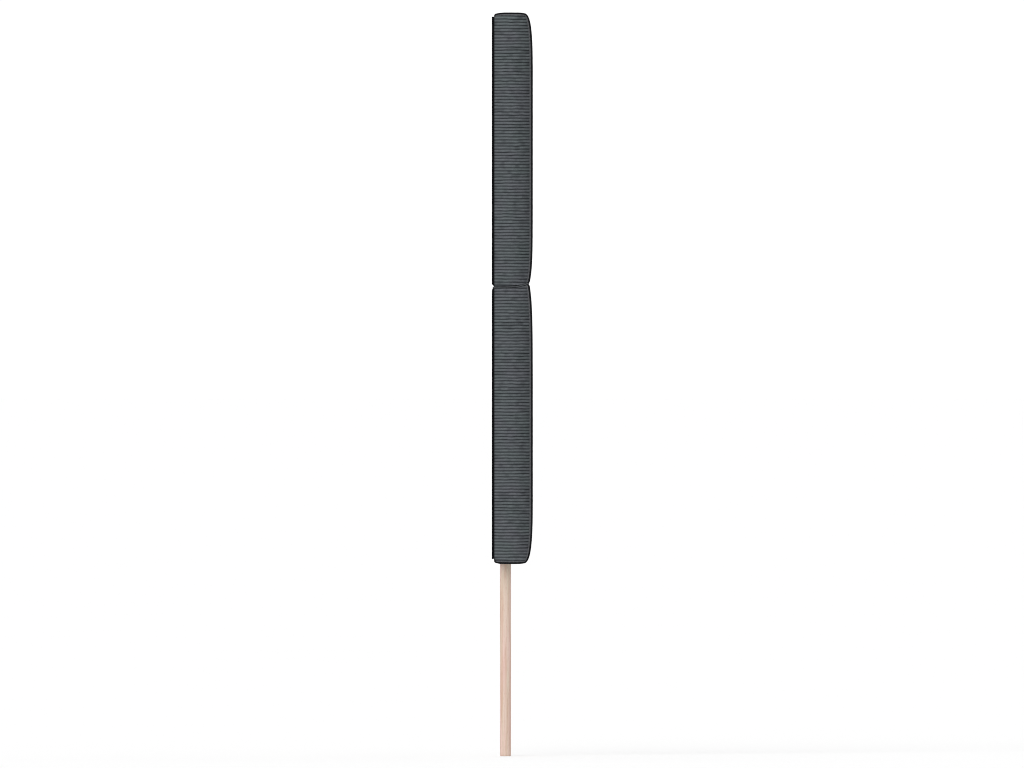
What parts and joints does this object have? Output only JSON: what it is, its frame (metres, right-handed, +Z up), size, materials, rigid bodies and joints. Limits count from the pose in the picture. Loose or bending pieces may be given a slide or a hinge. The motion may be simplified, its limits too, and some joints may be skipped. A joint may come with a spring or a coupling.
{
  "type": "padded blending tool",
  "caption": "Upright padded blending tool: a long two-lobed foam head in ribbed cloth, backed with stiff boards, on a round wooden handle.",
  "frame": {"origin": "centre of the flat free end of the handle", "axes": "+Z up along the handle's axis towards the head, +X towards the padded front of the head, so the boards face -X, +Y across the head's width"},
  "size_m": [0.0296, 0.0405, 0.5399],
  "materials": {
    "handle_wood": "plain sanded wood, unvarnished",
    "back_board": "dyed-through black board, matte",
    "foam": "open-cell upholstery foam",
    "ribbed_cloth": "corduroy-like ribbed cloth with a short soft pile",
    "edge_piping": "dark twisted cotton piping",
    "lining_cloth": "thin plain-woven black cloth",
    "tie_cord": "twisted waxed thread"
  },
  "bodies": {
    "root": {"handle_dowel": "handle_wood", "upper_back_board": "back_board", "lower_back_board": "back_board", "upper_foam_front": "foam", "upper_foam_rear": "foam", "lower_foam_front": "foam", "lower_foam_rear": "foam", "right_side_panel": "ribbed_cloth", "left_side_panel": "ribbed_cloth", "front_band": "ribbed_cloth", "rear_lining": "lining_cloth", "right_piping": "edge_piping", "left_piping": "edge_piping", "waist_tie_cord": "tie_cord"}
  },
  "joints": []
}
